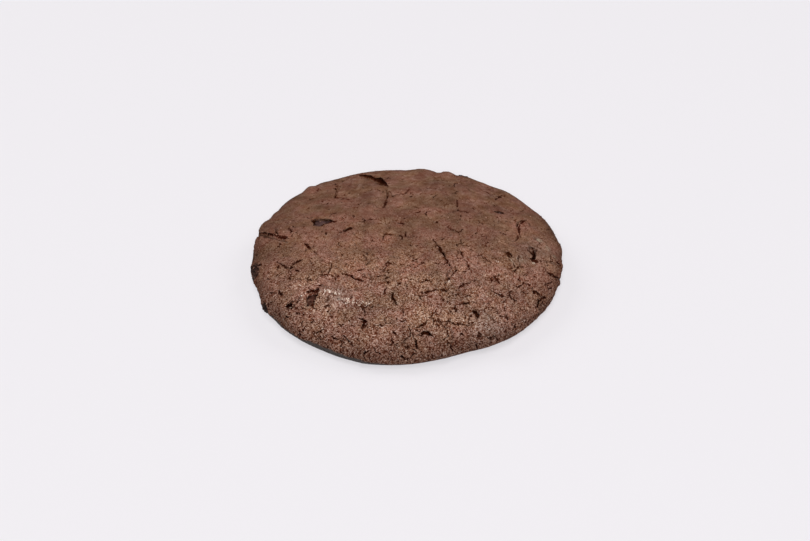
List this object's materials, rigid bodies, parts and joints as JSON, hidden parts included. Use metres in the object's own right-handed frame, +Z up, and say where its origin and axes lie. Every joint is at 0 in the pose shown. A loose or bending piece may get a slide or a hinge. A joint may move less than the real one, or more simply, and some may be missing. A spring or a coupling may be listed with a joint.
{
  "type": "chocolate hazelnut cookie",
  "caption": "Round flat-based chocolate cookie with a low cracked dome, a rolled rim and chopped chocolate pieces set into its crumb.",
  "frame": {"origin": "on the surface that the cookie lies on, under the middle of its outline", "axes": "+Z up through the thickness; -Y is the front of the picture and +X its right"},
  "size_m": [0.0866, 0.085, 0.0135],
  "materials": {
    "crumb": "dry matte baked crumb, cracked and grainy",
    "chocolate": "dark chocolate, softly glossy where it broke"
  },
  "bodies": {
    "root": {"cookie_dough": "crumb", "chocolate_left_rim": "chocolate", "chocolate_front_left_rim": "chocolate", "chocolate_back_left": "chocolate", "chocolate_front_left": "chocolate", "chocolate_right": "chocolate", "chocolate_back_rim": "chocolate", "chocolate_back_right_rim": "chocolate"}
  },
  "joints": []
}
